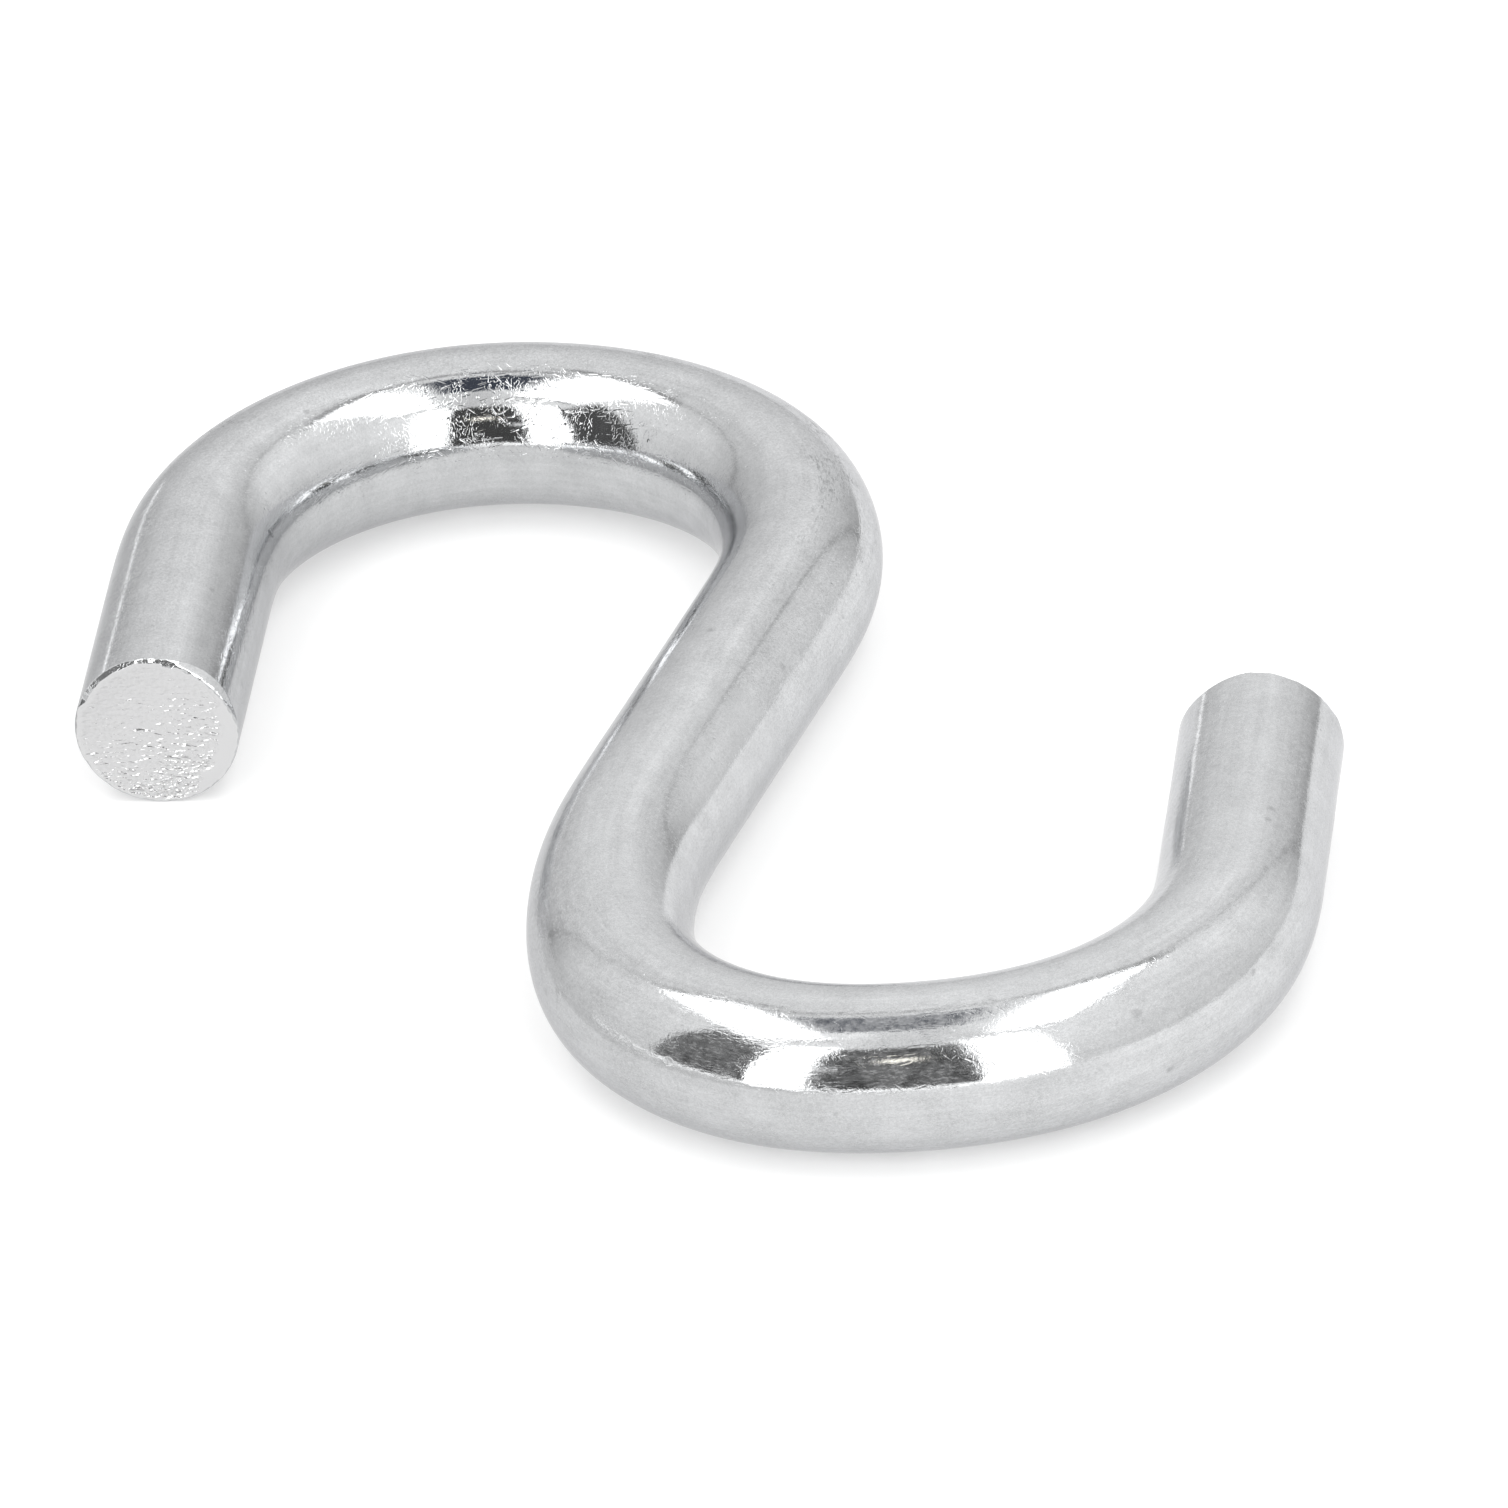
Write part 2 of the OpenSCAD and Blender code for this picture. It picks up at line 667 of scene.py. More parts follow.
@dataclass(frozen=True)
class ShearedFace:
    """The face that a shear leaves, plated over: a smooth burnished band, then torn grain.

    Heights and depths are in micrometres.
    """

    colour: tuple[float, float, float] = (0.80, 0.80, 0.805)
    patterns: tuple[Pattern, ...] = (
        Pattern("coarse", Mottle, (0.12 * MM, 4.0)),
        Pattern("fine", Mottle, (0.05 * MM, 9.0)),
        Pattern("patch", Mottle, (1.1 * MM, 12.0)),
        Pattern("pit", Pits, (0.3 * MM, 0.22, 3.0)),
    )
    grains: tuple[TornGrain, ...] = (
        TornGrain(
            seed=6.0,
            length=0.25 * MM,
            width=0.11 * MM,
            height=21.0,
            rise=Fade(0.48, 0.68),
            patch_share=0.6,
            base=0.18,
            up_reach=11.0 * MM,
            side_reach=30.0 * MM,
            where=Fade(0.32, 0.60, 0.30, 1.0),
        ),
        TornGrain(
            seed=16.0,
            length=0.16 * MM,
            width=0.075 * MM,
            height=13.5,
            rise=Fade(0.46, 0.66),
            patch_share=0.7,
            base=0.15,
            up_reach=3.0 * MM,
            side_reach=14.0 * MM,
            where=Fade(0.66, 1.0),
        ),
    )
    coarse_height: float = 7.0
    fine_height: float = 1.2
    pit_depth: float = 8.0
    pit_shade: float = 0.25
    coarse_shade: Fade = Fade(0.35, 0.6, 0.06, 0.0)
    burnished_roughness: float = 0.14
    torn_roughness: float = 0.20
    fine_roughness: float = 0.1

    def material(self) -> bpy.types.Material:
        """Builds the finish.

        Returns:
            The material.
        """
        material, bench, shader = new_material("sheared_face")
        place = bench.use("ShaderNodeAttribute", {}, "Vector", attribute_name=UNBENT)
        torn = bench.use("ShaderNodeAttribute", {}, "Fac", attribute_name=TORN)
        at = Wires(bench=bench, **{pattern.name: pattern.on(place) for pattern in self.patterns})
        _, side, up = bench.parts(place)
        shade = 1.0 - torn * (at.pit * self.pit_shade + self.coarse_shade.of(at.coarse))
        bench.feed(shader, "Base Color", bench.scaled(self.colour, shade))
        rough = torn * (self.torn_roughness - self.burnished_roughness) + self.burnished_roughness
        bench.feed(shader, "Roughness", rough + at.fine * self.fine_roughness)
        height = at.coarse * self.coarse_height - at.pit * self.pit_depth
        for grain in self.grains:
            height = height + grain.relief(side, up, at.patch)
        bench.feed(shader, "Normal", bench.bumped(torn * height + at.fine * self.fine_height))
        shader.inputs["Metallic"].default_value = 1.0
        return material


@dataclass(frozen=True)
class Bend:
    """One stretch of the bar: its length in millimetres, and its turn to the left in degrees."""

    length: float
    turn: float

    @property
    def angle(self) -> float:
        """The turn in radians."""
        return math.radians(self.turn)


@dataclass
class BarPath:
    """The bar's middle line from one sheared end to the other, in millimetres and degrees."""

    start: tuple[float, float] = (-12.849, 10.801)
    heading: float = 52.339
    height: float = 2.5
    ease: float = 3.0
    step: float = 0.08
    bends: tuple[Bend, ...] = (
        Bend(9.486, 0.0),
        Bend(12.693, -82.76),
        Bend(7.097, -40.15),
        Bend(5.481, -35.63),
        Bend(5.903, -34.58),
        Bend(12.947, 0.0),
        Bend(7.575, 25.08),
        Bend(10.083, 72.96),
        Bend(5.262, 23.76),
        Bend(11.231, 72.16),
        Bend(9.182, 0.0),
    )

    @property
    def length(self) -> float:
        """The bar's whole length, in millimetres."""
        return sum(bend.length for bend in self.bends)

    def sharp_heading(self, along: float) -> float:
        """The heading where each bend starts and stops at once.

        Args:
            along: the distance from the first end, in millimetres.

        Returns:
            The angle from the X axis, in radians.
        """
        angle = math.radians(self.heading)
        for bend in self.bends:
            if along <= bend.length:
                return angle + bend.angle * max(along, 0.0) / bend.length
            along -= bend.length
            angle += bend.angle
        return angle

    def eased_heading(self, along: float) -> float:
        """The heading where each bend eases into the next.

        Args:
            along: the distance from the first end, in millimetres.

        Returns:
            The angle from the X axis, in radians.
        """
        taps = 9
        places = [along + self.ease * (tap / (taps - 1) - 0.5) for tap in range(taps)]
        return sum(self.sharp_heading(place) for place in places) / taps

    def mesh(self) -> bpy.types.Mesh:
        """Walks the bar's length and joins the places passed into one line.

        Returns:
            A mesh of one open line, in metres.
        """
        steps = round(self.length / self.step)
        stride = self.length / steps
        x, y = self.start
        places = [(x * MM, y * MM, self.height * MM)]
        for number in range(steps):
            heading = self.eased_heading((number + 0.5) * stride)
            x += stride * math.cos(heading)
            y += stride * math.sin(heading)
            places.append((x * MM, y * MM, self.height * MM))
        mesh = bpy.data.meshes.new("bar_path")
        mesh.from_pydata(places, [(number, number + 1) for number in range(steps)], [])
        LOG.info("bar_path: %.1f mm long", self.length)
        return mesh


@dataclass
class SHook:
    """The hook: one round bar swept along its path, with the two ends as a shear leaves them.

    Each plain number here is an input of the geometry tree, under its own name. A point's inner and up
    tell how far it looks towards its own eye and how far it looks up, -1 to 1.
    """

    bar_radius: float = BAR_RADIUS
    roll_length: float = 0.40 * MM
    roll_arc: float = 0.50 * MM
    roll_shift: float = 0.80 * MM
    roll_ring: float = 3.32 * MM
    blade_angle: float = math.radians(47.0)
    end_zone: float = 0.46 * MM
    rim_share: float = 0.001
    edge_radius: float = 0.045 * MM
    edge_ragged: float = 0.035 * MM
    edge_on_burr: float = 0.1
    edge_seed: float = 8.0
    burr_depth: float = 0.16 * MM
    burr_run: float = 0.125 * MM
    burr_least_run: float = 0.02 * MM
    burr_fade: float = 1.3
    burr_angle: float = math.radians(110.0)
    burr_size: float = 0.14 * MM
    teeth_share: float = 0.55
    teeth_seed: float = 6.0
    most_torn: float = 1.10
    gap_place: float = -0.2
    burnish_angle: float = math.radians(-16.0)
    burnish_width: float = 0.55 * MM
    burnish_ragged: float = 0.80 * MM
    burnish_size: float = 0.45 * MM
    burnish_seed: float = 3.0
    least_wander: float = 0.2
    torn_overlap: float = 0.15 * MM
    crack_depth: float = 0.030 * MM
    crack_width: float = 0.06 * MM
    face_recess: float = 0.03 * MM
    face_grain: float = 0.13 * MM
    face_grain_size: float = 0.28 * MM
    face_grain_level: float = 0.4
    rugged_size: float = 1.0 * MM
    rugged_seed: float = 9.0
    rugged_inside: float = 0.10
    rugged_below: float = 0.16
    dent_depth: float = 0.010 * MM
    dent_size: float = 2.0 * MM
    wall_steps: int = 150
    end_steps: int = 28
    face_steps: int = 54
    segments: int = 196
    seed: int = 5
    face_grain_shape: tuple[float, float, float] = (1.0, 0.55, 1.4)
    edge_wander: Fade = Fade(0.40, 0.70)
    edge_broken: Fade = Fade(0.44, 0.54, 0.25, 1.0)
    burr_side: Fade = Fade(0.60, 0.74, smooth=True)
    teeth_first: Fade = Fade(-0.1, 0.3, 0.34, 0.45)
    teeth_last: Fade = Fade(-0.1, 0.3, 0.66, 0.56)
    least_torn: Fade = Fade(-0.1, 0.3, 0.80, 0.15)
    torn_inside: Fade = Fade(-0.1, 0.35, 1.0, 0.6)
    torn_gap: Fade = Fade(0.0, 0.22, 0.6, 1.0, smooth=True)
    steep_inside: Fade = Fade(-0.2, 0.3, 1.0, 0.62)
    steep_outside: Fade = Fade(-0.8, -0.35, 0.88, 1.0)
    near_blade: Fade = Fade(0.58, 0.84, smooth=True)
    torn_edge: Fade = Fade(-0.03 * MM, 0.09 * MM, smooth=True)
    torn_rise: Fade = Fade(-0.03 * MM, 0.36 * MM, smooth=True)
    crack_wall: Fade = Fade(0.2, 1.0, 1.0, 0.0, smooth=True)
    rugged: Fade = Fade(0.40, 0.66, 0.16, 1.0, smooth=True)
    inset: Fade = Fade(0.0, 0.07, smooth=True)

    def sizes(self, plate: bpy.types.Material, sheared: bpy.types.Material) -> dict[str, tuple[str, Any]]:
        """The tree's inputs.

        Args:
            plate: the wall's finish.
            sheared: the end faces' finish.

        Returns:
            Input name to its socket type and value.
        """
        kinds = {float: "NodeSocketFloat", int: "NodeSocketInt"}
        sizes = {}
        for name, value in vars(self).items():
            if type(value) in kinds:
                sizes[name.replace("_", " ").title()] = (kinds[type(value)], value)
        return sizes | {"Plate": ("NodeSocketMaterial", plate), "Sheared": ("NodeSocketMaterial", sheared)}

    @staticmethod
    def facing(angle: Wire, at: Wires) -> Wire:
        """The cosine between the way a point looks and the way at an angle from its eye's side."""
        return at.inner * at.bench.sum(Sum.COSINE, angle) + at.up * at.bench.sum(Sum.SINE, angle)

    @staticmethod
    def leg(long_side: Wire, short_side: Wire) -> Wire:
        """The other short side of a right-angled triangle, 0 where there is none."""
        square = long_side * long_side - short_side * short_side
        return long_side.bench.sum(Sum.ROOT, square.at_least(0.0))

    @staticmethod
    def in_waves(place: Wire, size: Wire, share: Feed = 1.0) -> Wire:
        """A place counted in waves of a size, for noise to be read at."""
        return place.bench.scaled(place, share / size)

    @staticmethod
    def lay_out(at: Wires) -> None:
        """Lays a flat grid along the bar: its middle strips on the wall, its last ones on the end faces.

        Args:
            at: the tree's inputs, which gain the grid and where each of its points lies.
        """
        bench = at.bench
        rim_step = at.wall_steps + at.end_steps
        steps = rim_step + at.face_steps
        feeds = {"Size X": 1.0, "Size Y": 1.0}
        feeds |= {"Vertices X": steps * 2.0 + 1.0, "Vertices Y": at.segments + 1.0}
        at.grid = bench.use("GeometryNodeMeshGrid", feeds, "Mesh")
        sheet_x, sheet_y, _ = bench.parts(bench.wire(bench.place("GeometryNodeInputPosition")))
        at.end = bench.sum(Sum.SIGN, sheet_x)
        step = abs(sheet_x) * 2.0 * steps
        turn = (0.5 - sheet_y) * math.tau
        at.inward, at.up = bench.sum(Sum.COSINE, turn), bench.sum(Sum.SINE, turn)
        at.inner = at.end * at.inward
        walk = bench.ramp(step, 0.0, at.wall_steps, 0.0, at.half_length - at.end_zone)
        left_over = bench.ramp(step, at.wall_steps, rim_step, 1.0, 0.0)
        at.walk = walk + (1.0 - left_over * left_over) * at.end_zone
        at.along = at.end * at.walk
        at.to_face = at.half_length - at.walk
        at.across = bench.ramp(step, rim_step, steps, 0.0, 1.0)

    def rolled(self, at: Wires) -> Wire:
        """The bar's radius where the blade drew it in, near an end.

        Args:
            at: the tree's inputs and the point.

        Returns:
            The radius.
        """
        bench = at.bench
        facing = self.facing(at.blade_angle, at)
        into = (at.roll_length - at.to_face).at_least(0.0)
        ring = at.roll_ring - at.roll_arc + self.leg(at.roll_arc, into)
        aside = at.roll_shift * bench.sum(Sum.ROOT, (1.0 - facing * facing).at_least(0.0))
        rolled = self.leg(ring, aside) - at.roll_shift * facing
        return bench.sum(Sum.LEAST, at.bar_radius, rolled)

    def section(self, at: Wires) -> tuple[Wire, Wire]:
        """The bar's radius, rounded at the rim and torn where the shear left its burr.

        Args:
            at: the tree's inputs and the point.

        Returns:
            The radius, and whether the place is on the burr, 0 to 1.
        """
        bench = at.bench
        place = bench.vector(at.inner * at.bar_radius, at.up * at.bar_radius, at.to_face * 0.5)
        ragged = self.in_waves(place, at.burr_size)
        ragged = bench.noise(ragged, at.edge_seed, detail=3.0, rough=0.6)
        teeth = self.in_waves(place, at.burr_size, at.teeth_share)
        teeth = bench.noise(teeth, at.teeth_seed, detail=1.0)
        burr_side = self.burr_side.of(self.facing(at.burr_angle, at))
        edge = at.edge_radius + at.edge_ragged * self.edge_wander.of(ragged)
        edge = edge * (1.0 - burr_side * (1.0 - at.edge_on_burr)) * self.edge_broken.of(teeth)
        near = (edge - at.to_face).at_least(0.0)
        radius = self.rolled(at) - edge + self.leg(edge, near)
        first, last = self.teeth_first.of(at.inner), self.teeth_last.of(at.inner)
        torn_off = bench.ramp(teeth, first, last, self.least_torn.of(at.inner), at.most_torn)
        torn_off = burr_side * torn_off * self.torn_inside.of(at.inner)
        torn_off = torn_off * self.torn_gap.of(abs(at.inner - at.gap_place))
        steeper = self.steep_inside.of(at.inner) * self.steep_outside.of(at.inner)
        run = (at.burr_run * torn_off * steeper).at_least(at.burr_least_run)
        burr = burr_side * bench.ramp(at.to_face, run, run * at.burr_fade, 1.0, 0.0)
        return radius - at.burr_depth * torn_off * (1.0 - at.to_face / run).at_least(0.0), burr

    def torn(self, at: Wires) -> tuple[Wire, Wire, Wire]:
        """Where an end face is torn, past the band that the blade burnished, and the crack between the two.

        Args:
            at: the tree's inputs and the point, with its spread from the middle line.

        Returns:
            How torn the place is, how far the torn grain has risen to its full height, and how deep in the
            crack the place is, each 0 to 1.
        """
        place = at.bench.vector(at.inner * at.spread, at.up * at.spread, 0.0)
        place = self.in_waves(place, at.burnish_size)
        wander = at.bench.noise(place, at.burnish_seed, detail=3.0, rough=0.6) - 0.5
        near_blade = self.near_blade.of(self.facing(at.burnish_angle, at))
        wander = wander * (near_blade * (1.0 - at.least_wander) + at.least_wander)
        band = near_blade * at.burnish_width - (1.0 - near_blade) * at.torn_overlap
        past = at.bar_radius - at.spread - band + wander * at.burnish_ragged
        crack = self.crack_wall.of(abs(past) / at.crack_width)
        return self.torn_edge.of(past), self.torn_rise.of(past), crack * near_blade

    def sunk(self, at: Wires) -> tuple[Wire, Wire]:
        """How far an end face lies behind its own plane.

        Args:
            at: the tree's inputs and the point, with its spread and its unbent place.

        Returns:
            The depth, and how torn the place looks, 0 to 1.
        """
        bench = at.bench
        torn, rising, crack = self.torn(at)
        place = self.in_waves(at.unbent, at.face_grain_size)
        feeds = {0: place, 1: self.face_grain_shape}
        place = bench.use("ShaderNodeVectorMath", feeds, operation="MULTIPLY")
        grain = bench.noise(place, at.seed, detail=2.5, rough=0.5) - at.face_grain_level
        rugged = bench.noise(self.in_waves(at.unbent, at.rugged_size), at.rugged_seed, detail=1.0)
        lean = at.inner * at.rugged_inside - at.up * at.rugged_below
        rugged = rugged + lean * (1.0 - at.across)
        grain = grain * at.face_grain * self.rugged.of(rugged)
        inset = self.inset.of(at.across)
        return inset * (rising * grain + torn * at.face_recess + crack * at.crack_depth), torn * inset

    def tree(self, sizes: dict[str, tuple[str, Any]]) -> bpy.types.NodeTree:
        """Builds the swept bar as geometry nodes.

        Args:
            sizes: the tree's inputs.

        Returns:
            The node group.
        """
        tree = bpy.data.node_groups.new("bent_bar", "GeometryNodeTree")
        tree.interface.new_socket(name="Geometry", in_out="INPUT", socket_type="NodeSocketGeometry")
        for label, (kind, _) in sizes.items():
            tree.interface.new_socket(name=label, in_out="INPUT", socket_type=kind)
        tree.interface.new_socket(name="Geometry", in_out="OUTPUT", socket_type="NodeSocketGeometry")
        bench = NodeBench(tree)
        source = bench.place("NodeGroupInput")
        at = Wires(bench=bench)
        for label in sizes:
            setattr(at, label.replace(" ", "_").lower(), bench.wire(source, label))
        at.path = bench.use("GeometryNodeMeshToCurve", {"Mesh": bench.wire(source, "Geometry")})
        at.half_length = bench.use("GeometryNodeCurveLength", {"Curve": at.path}) * 0.5
        self.lay_out(at)
        radius, burr = self.section(at)
        dent = bench.vector(at.along, radius * at.inward, radius * at.up)
        dent = bench.noise(self.in_waves(dent, at.dent_size), at.seed, detail=1.0)
        at.spread = (radius - dent * at.dent_depth) * (1.0 - at.across)
        at.unbent = bench.vector(at.along, at.spread * at.inward, at.spread * at.up)
        sink, torn = self.sunk(at)
        placed = self.bent(at, sink * at.end)
        on_wall = bench.sum(Sum.ABOVE, at.rim_share, at.across)
        kept = {
            UNBENT: ("FLOAT_VECTOR", at.unbent),
            ACROSS: ("FLOAT", at.across),
            TORN: ("FLOAT", torn + burr * on_wall),
        }
        mesh = at.grid
        for name, (kind, value) in kept.items():
            feeds = {"Geometry": mesh, "Name": name, "Value": value}
            mesh = bench.use("GeometryNodeStoreNamedAttribute", feeds, data_type=kind, domain="POINT")
        mesh = bench.use("GeometryNodeSetPosition", {"Geometry": mesh, "Position": placed})
        bench.feed(bench.place("NodeGroupOutput"), "Geometry", self.finished(at, mesh))
        return tree

    @staticmethod
    def bent(at: Wires, sink: Wire) -> Wire:
        """Carries a point of the straight bar onto its path.

        Args:
            at: the tree's inputs and the point.
            sink: how far it lies back along the path.

        Returns:
            Its place.
        """
        bench = at.bench
        sampler = bench.place("GeometryNodeSampleCurve", mode="LENGTH")
        bench.feed(sampler, "Curves", at.path)
        bench.feed(sampler, "Length", at.half_length + at.along)
        head = bench.wire(sampler, "Tangent")
        head_x, head_y, _ = bench.parts(head)
        left = bench.sum(Sum.TIMES, head_y, -1.0)
        aside = at.spread * at.inward
        outward = bench.vector(left * aside, head_x * aside, at.spread * at.up)
        placed = bench.moved(bench.wire(sampler, "Position"), outward)
        return bench.moved(placed, bench.scaled(head, bench.sum(Sum.TIMES, sink, -1.0)))

    @staticmethod
    def finished(at: Wires, mesh: Wire) -> Wire:
        """Closes the mesh's seam, smooths it and gives the wall and the end faces their finishes.

        Args:
            at: the tree's inputs.
            mesh: the mesh in place.

        Returns:
            The finished mesh.
        """
        bench = at.bench
        mesh = bench.use("GeometryNodeMergeByDistance", {"Geometry": mesh, "Distance": MICRON})
        feeds = {"Geometry": mesh, "Shade Smooth": True}
        mesh = bench.use("GeometryNodeSetShadeSmooth", feeds, domain="FACE")
        end = bench.use("GeometryNodeInputNamedAttribute", {"Name": ACROSS}, data_type="FLOAT")
        on_face = bench.sum(Sum.ABOVE, end, 0.0)
        on_face = bench.use("GeometryNodeFieldOnDomain", {0: on_face}, data_type="FLOAT", domain="FACE")
        chosen = bench.sum(Sum.ABOVE, on_face, 0.0)
        mesh = bench.use("GeometryNodeRealizeInstances", {"Geometry": mesh})
        mesh = bench.use("GeometryNodeSetMaterial", {"Geometry": mesh, "Material": at.plate})
        feeds = {"Geometry": mesh, "Selection": chosen, "Material": at.sheared}
        return bench.use("GeometryNodeSetMaterial", feeds)

    def build(self, path: BarPath, plate: ZincPlate, sheared: ShearedFace) -> bpy.types.Object:
        """Builds the bar and joins it to the frame.

        Args:
            path: the bar's middle line.
            plate: the wall's finish.
            sheared: the end faces' finish.

        Returns:
            The finished piece.
        """
        sizes = self.sizes(plate.material(), sheared.material())
        tree = self.tree(sizes)
        maker = put_in("bar_maker", path.mesh())
        modifier = maker.modifiers.new("bent_bar", "NODES")
        modifier.node_group = tree
        inputs = [item for item in tree.interface.items_tree if item.in_out == "INPUT"]
        identifiers = {item.name: item.identifier for item in inputs}
        for label, (_, value) in sizes.items():
            modifier[identifiers[label]] = value
        depsgraph = bpy.context.evaluated_depsgraph_get()
        mesh = bpy.data.meshes.new_from_object(
            maker.evaluated_get(depsgraph), preserve_all_data_layers=True, depsgraph=depsgraph
        )
        maker.modifiers.remove(modifier)
        bpy.data.objects.remove(maker)
        mesh.name = "bent_bar"
        piece = put_in("bent_bar", mesh)
        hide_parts("s_hook")
        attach(piece, "root")
        triangles = sum(len(face.vertices) - 2 for face in mesh.polygons)
        LOG.info("bent_bar: %d triangles, %d materials", triangles, len(mesh.materials))
        return piece


@dataclass(frozen=True)
class Panel:
    """A flat rectangle of the studio, in millimetres: a lamp, or a flag that only mirrors see."""

    name: str
    centre: tuple[float, float, float]
    width: float
    height: float
    faces: tuple[float, float, float]
    level: float
    tint: tuple[float, float, float] = (1.0, 1.0, 1.0)


@dataclass(frozen=True)
class Glow:
    """An upright stripe of the tent's walls that is lighter or darker, by its bearing and half width."""

    middle: float
    reach: float
    gain: float


@dataclass
class Studio:
    """A pale floor in a small light tent: lit roof and front corners, and a dark front opening."""

    turn: float = math.radians(-28.975)
    wall: float = 0.92
    corner: float = math.radians(41.0)
    corner_shade: Fade = Fade(0.0, 0.55, 0.33, 0.16)
    corner_reach: Fade = Fade(0.0, math.radians(17.0), 1.0, 0.0, smooth=True)
    seam: Fade = Fade(math.radians(0.8), math.radians(1.6), 0.68, 1.0)
    nearer: Fade = Fade(math.radians(60.0), math.radians(140.0), 1.0, 1.2)
    front: Fade = Fade(math.radians(145.0), math.radians(160.0), 1.0, 0.74)
    higher: Fade = Fade(0.0, 0.62, 0.76, 1.04)
    glows: tuple[Glow, ...] = (
        Glow(math.radians(2.0), math.radians(10.0), 0.06),
        Glow(math.radians(17.0), math.radians(12.0), 0.13),
        Glow(math.radians(58.0), math.radians(32.0), 0.18),
        Glow(math.radians(-25.0), math.radians(11.0), -0.13),
    )
    floor_size: float = 6.0
    floor_colour: float = 0.70
    floor_lift: float = 0.34
    floor_glow: float = 0.57
    # Painted light on the floor that only mirrors see: its colour grows lighter from left to right.
    floor_level: Fade = Fade(-14.0 * MM, 14.0 * MM, 0.25, 0.38, smooth=True)
    # Painted shade on the floor that only mirrors see, past the hook's left end; it dims the floor's glow in
    # mirrors there too.
    floor_end: Fade = Fade(-23.0 * MM, -19.0 * MM, 0.78, 1.0, smooth=True)
    lamp_level: float = 2.4
    lamps: tuple[Panel, ...] = (
        Panel("lamp_front_left", (-279, -370, 325), 182, 650, (0, 1, 0), 1.0),
        Panel("lamp_front_right", (157, -370, 325), 158, 650, (0, 1, 0), 1.0),
        Panel("lamp_roof_left", (-280, 52, 651), 222, 546, (0, 0, -1), 1.0),
        Panel("lamp_roof_right", (228, -30, 651), 196, 520, (0, 0, -1), 1.0),
    )
    flags: tuple[Panel, ...] = (
        Panel("flag_front", (-55, -369, 290), 266, 540, (0, 1, 0), 0.05),
        Panel("flag_left", (-369, -231, 280), 278, 520, (1, 0, 0), 0.08),
        Panel("skirt_front", (-55, -368, 9), 266, 18, (0, 1, 0), 1.9),
        Panel("skirt_left", (-368, -150, 9), 440, 18, (1, 0, 0), 1.5),
        Panel("skirt_back", (-168, 368, 8), 84, 16, (0, -1, 0), 1.7),
        Panel("flag_roof", (-36, 30, 650), 206, 262, (0, 0, -1), 0.06, (0.75, 0.9, 1.3)),
        Panel("seam_back", (-5, 250, 650), 270, 48, (0, 0, -1), 0.42),
        Panel("seam_left", (-240, 358, 649), 270, 64, (0, 0, -1), 0.36),
        Panel("seam_right", (246, 268, 649), 246, 76, (0, 0, -1), 0.36),
        Panel("seam_front_left", (-274, -236, 649), 234, 30, (0, 0, -1), 0.32),
        Panel("seam_front_right", (236, -300, 649), 184, 22, (0, 0, -1), 0.36),
        Panel("seam_side", (337, -30, 648), 22, 520, (0, 0, -1), 0.28),
        Panel("glow_side", (363, -30, 648), 30, 520, (0, 0, -1), 1.25),
        Panel("window", (-42, -368, 306), 60, 46, (0, 1, 0), 2.2, (1.0, 0.96, 0.86)),
        Panel("window_low", (-157, -368, 214), 55, 45, (0, 1, 0), 0.9),
    )

    def posed(self, panel: Panel) -> Matrix:
        """The placing of a panel whose own -Z looks the way that it faces.

        Args:
            panel: the panel, in the tent's own millimetres.

        Returns:
            Its matrix in the row frame.
        """
        tent = Matrix.Rotation(self.turn, 3, "Z")
        facing = tent @ Vector(panel.faces)
        up = Vector((0, 0, 1)) if abs(facing.z) < 0.5 else tent @ Vector((0, 1, 0))
        back = -facing.normalized()
        side = up.cross(back).normalized()
        turned = Matrix((side, back.cross(side), back)).transposed().to_4x4()
        return Matrix.Translation(tent @ (Vector(panel.centre) * MM)) @ turned

    def add_lamp(self, panel: Panel) -> None:
        """Hangs one lamp.

        Args:
            panel: its size, place and level.
        """
        light = bpy.data.lights.new(panel.name, "AREA")
        light.shape = "RECTANGLE"
        light.size = panel.width * MM
        light.size_y = panel.height * MM
        light.energy = self.lamp_level * panel.level * math.pi * light.size * light.size_y
        light.color = panel.tint
        lamp = put_in(panel.name, light)
        lamp.matrix_world = self.posed(panel)
        lamp.visible_camera = False
        LOG.info("%s: %.3f W", panel.name, light.energy)

    @staticmethod
    def sheet(material: bpy.types.Material, width: float, height: float, down: bool) -> bpy.types.Mesh:
        """A flat rectangle about its own middle.

        Args:
            material: its finish, which gives it its name too.
            width: its size along X, in metres.
            height: its size along Y, in metres.
            down: True to look down, False to look up.

        Returns:
            The mesh.
        """
        corners = [(x * width / 2, y * height / 2, 0) for x, y in ((-1, -1), (1, -1), (1, 1), (-1, 1))]
        mesh = bpy.data.meshes.new(material.name)
        mesh.from_pydata(corners, [], [(3, 2, 1, 0) if down else (0, 1, 2, 3)])
        mesh.materials.append(material)
        return mesh

    def add_flag(self, panel: Panel) -> None:
        """Hangs one dark or bright flag that only mirrors see.

        Args:
            panel: its size, place and level.
        """
        material = bpy.data.materials.new(panel.name)
        bench = cleared(material)
        colour = tuple(panel.level * part for part in panel.tint) + (1.0,)
        glow = bench.use("ShaderNodeEmission", {"Color": colour, "Strength": 1.0})
        bench.feed(bench.place("ShaderNodeOutputMaterial"), "Surface", glow)
        mesh = self.sheet(material, panel.width * MM, panel.height * MM, down=True)
        mesh.transform(self.posed(panel))
        flag = put_in(panel.name, mesh)
        flag.visible_camera = False
        flag.visible_diffuse = False
        flag.visible_shadow = False
        LOG.info("%s: in place", panel.name)

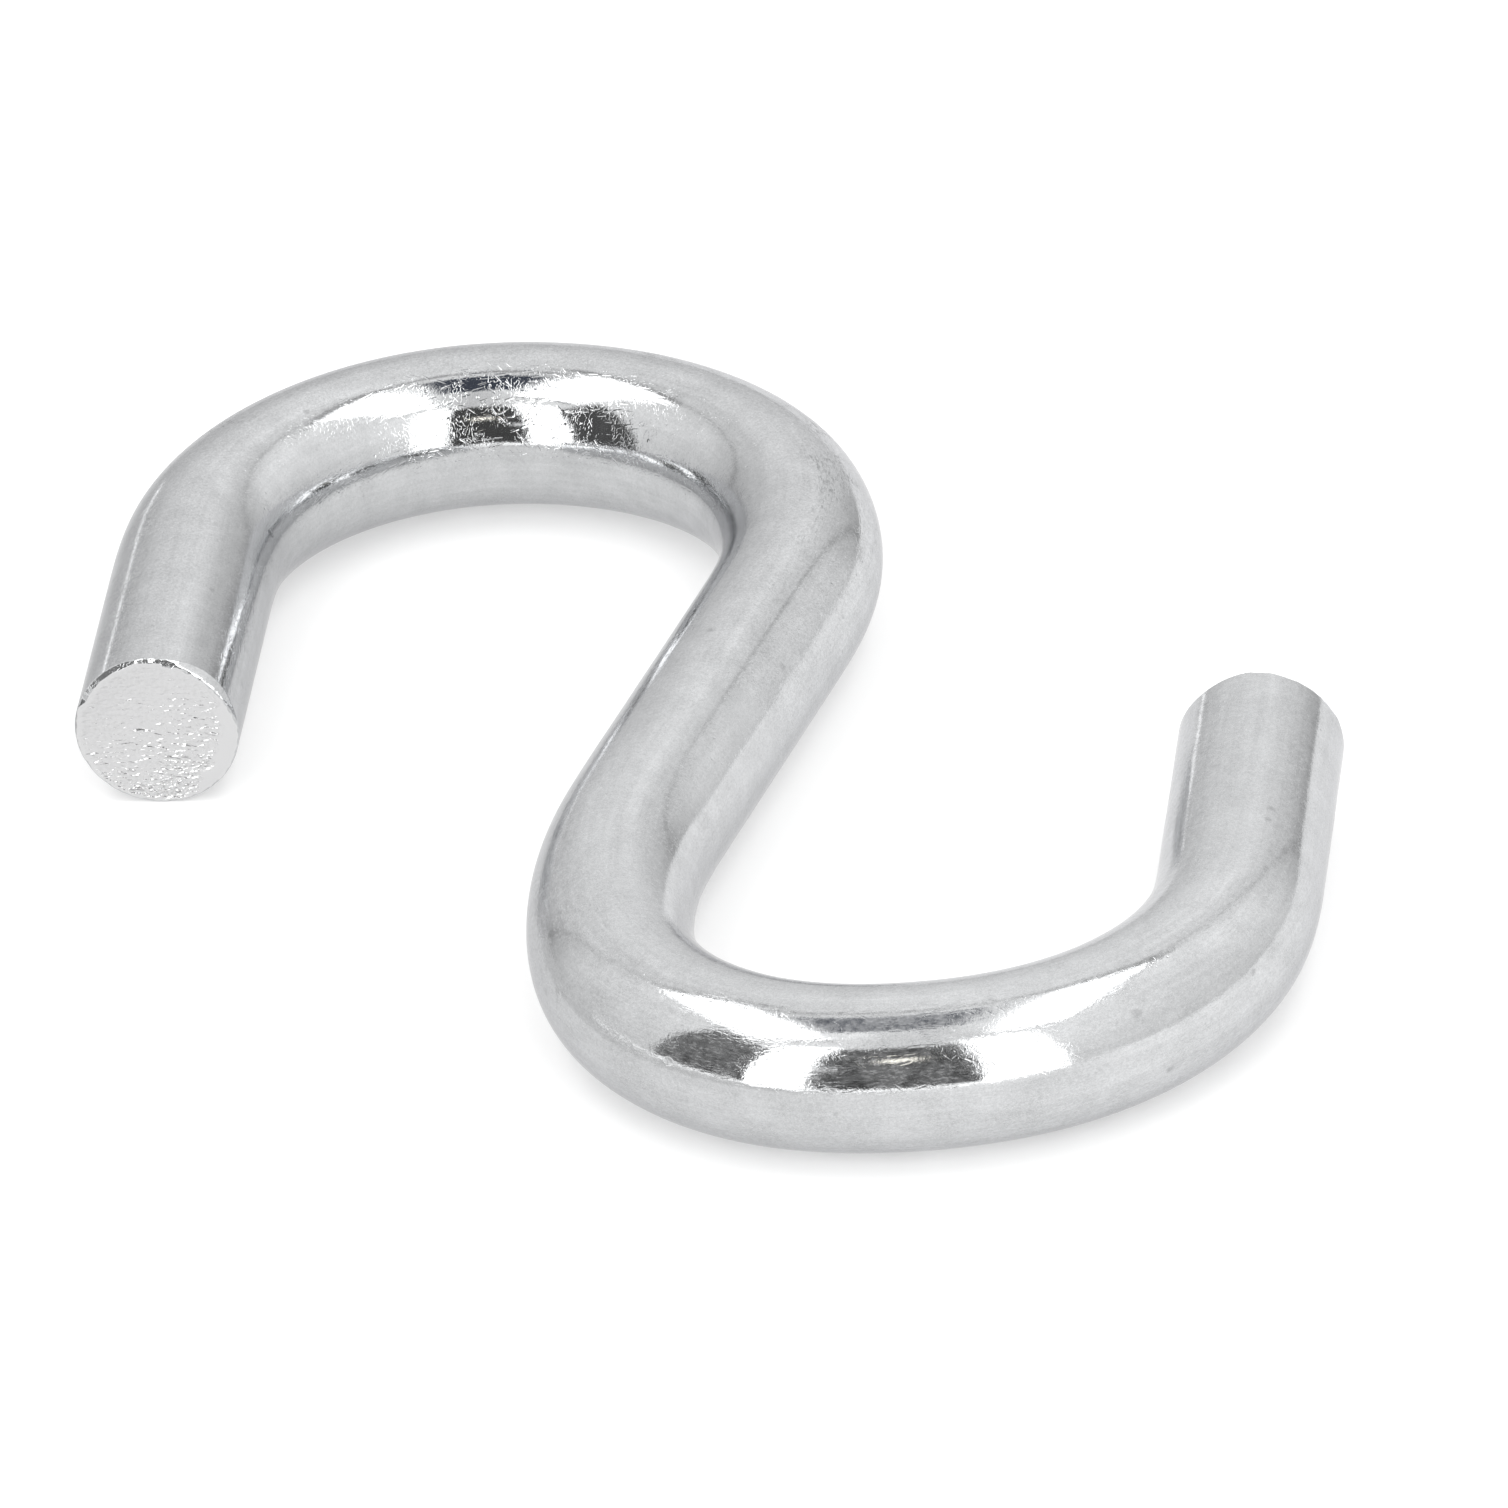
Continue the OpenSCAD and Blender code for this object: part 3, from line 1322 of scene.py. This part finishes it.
    def add_floor(self) -> None:
        """Lays the floor: it keeps the shadow, and reads as white where it is open. To mirrors it shows
        painted light, darker to the left and lighter to the right, and painted shade past the hook's left
        end.
        """
        material = bpy.data.materials.new("floor")
        bench = cleared(material)
        across, _, _ = bench.parts(self.tent_place(bench, "Object"))
        # Painted light and painted shade: in mirrors the floor's colour ramps from left to right, and its
        # colour and glow darken past the hook's left end.
        level = self.floor_level.of(across) * self.floor_end.of(across)
        glow = self.floor_end.of(across) * self.floor_glow
        rays = bench.place("ShaderNodeLightPath")
        mirrored = bench.wire(rays, "Is Glossy Ray").at_least(bench.wire(rays, "Is Transmission Ray"))
        colour = (level - self.floor_colour) * mirrored + self.floor_colour
        matt = bench.use("ShaderNodeBsdfDiffuse", {"Color": colour})
        lift = bench.wire(rays, "Is Camera Ray") * self.floor_lift + mirrored * glow
        lift = bench.use("ShaderNodeEmission", {"Color": WHITE, "Strength": lift})
        lit = bench.use("ShaderNodeAddShader", {0: matt, 1: lift})
        clear = bench.use("ShaderNodeBsdfTransparent", {})
        behind = bench.use("ShaderNodeNewGeometry", {}, "Backfacing")
        both = bench.use("ShaderNodeMixShader", {0: behind, 1: lit, 2: clear})
        bench.feed(bench.place("ShaderNodeOutputMaterial"), "Surface", both)
        floor = put_in("floor", self.sheet(material, self.floor_size, self.floor_size, down=False))
        LOG.info("floor: laid")

    def tent_place(self, bench: NodeBench, output: str) -> Wire:
        """A place or a way of looking, turned to the tent's own right and depth."""
        feeds = {"Vector": bench.use("ShaderNodeTexCoord", {}, output), "Angle": -self.turn}
        return bench.use("ShaderNodeVectorRotate", feeds, rotation_type="Z_AXIS")

    def add_air(self) -> None:
        """Sets the world: white to the camera, pale grey tent walls to everything else."""
        world = bpy.data.worlds.new("tent")
        bench = cleared(world)
        right, away, up = bench.parts(self.tent_place(bench, "Generated"))
        bearing = bench.sum(Sum.ANGLE, right, away)
        aside = abs(bearing)
        off_corner = abs(aside - self.corner)
        crease = 1.0 - self.corner_shade.of(up) * self.corner_reach.of(off_corner)
        crease = crease * self.seam.of(off_corner)
        nearer = self.nearer.of(aside) * self.front.of(aside)
        wall = crease * nearer * self.higher.of(up) * self.wall
        for glow in self.glows:
            fade = Fade(0.0, glow.reach, 1.0 + glow.gain, 1.0, smooth=True)
            wall = wall * fade.of(abs(bearing - glow.middle))
        seen = bench.wire(bench.place("ShaderNodeLightPath"), "Is Camera Ray")
        level = seen + wall * (1.0 - seen)
        glow = bench.use("ShaderNodeBackground", {"Color": WHITE, "Strength": level})
        bench.feed(bench.place("ShaderNodeOutputWorld"), "Surface", glow)
        bpy.context.scene.world = world
        LOG.info("tent walls: %.2f", self.wall)

    def build(self) -> None:
        """Sets up the floor, the walls, the lamps and the flags."""
        self.add_floor()
        self.add_air()
        for panel in self.lamps:
            self.add_lamp(panel)
        for panel in self.flags:
            self.add_flag(panel)


@dataclass
class Viewer:
    """The camera that looks down on the hook from the front left."""

    azimuth: float = math.radians(-28.975)
    elevation: float = math.radians(30.578)
    roll: float = math.radians(-4.993)
    distance: float = 744.4 * MM
    aim: tuple[float, float, float] = (0.650 * MM, -1.758 * MM, 2.5 * MM)
    lens: float = 591.9
    sensor: float = 36.0

    def build(self) -> bpy.types.Object:
        """Builds the camera and makes it the scene's own.

        Returns:
            The camera object.
        """
        level = math.cos(self.elevation)
        aside, ahead = math.sin(self.azimuth) * level, math.cos(self.azimuth) * level
        back = Vector((aside, -ahead, math.sin(self.elevation)))
        flat = Vector((math.cos(self.azimuth), math.sin(self.azimuth), 0.0))
        over = back.cross(flat)
        right = flat * math.cos(self.roll) + over * math.sin(self.roll)
        above = over * math.cos(self.roll) - flat * math.sin(self.roll)
        data = bpy.data.cameras.new("viewer")
        data.sensor_fit = "HORIZONTAL"
        data.sensor_width = self.sensor
        data.lens = self.lens
        data.clip_start = 0.02
        data.clip_end = 50.0
        camera = put_in("viewer", data)
        turned = Matrix((right, above, back)).transposed().to_4x4()
        camera.matrix_world = Matrix.Translation(Vector(self.aim) + back * self.distance) @ turned
        bpy.context.scene.camera = camera
        LOG.info("viewer: %.1f mm lens", self.lens)
        return camera


def main() -> None:
    """Loads the frame, builds the hook, the studio and the camera."""
    logging.basicConfig(level=logging.INFO, format="%(name)s: %(message)s")
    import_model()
    bpy.context.scene.view_settings.view_transform = "Standard"
    SHook().build(BarPath(), ZincPlate(), ShearedFace())
    Studio().build()
    Viewer().build()


if __name__ == "__main__":
    main()
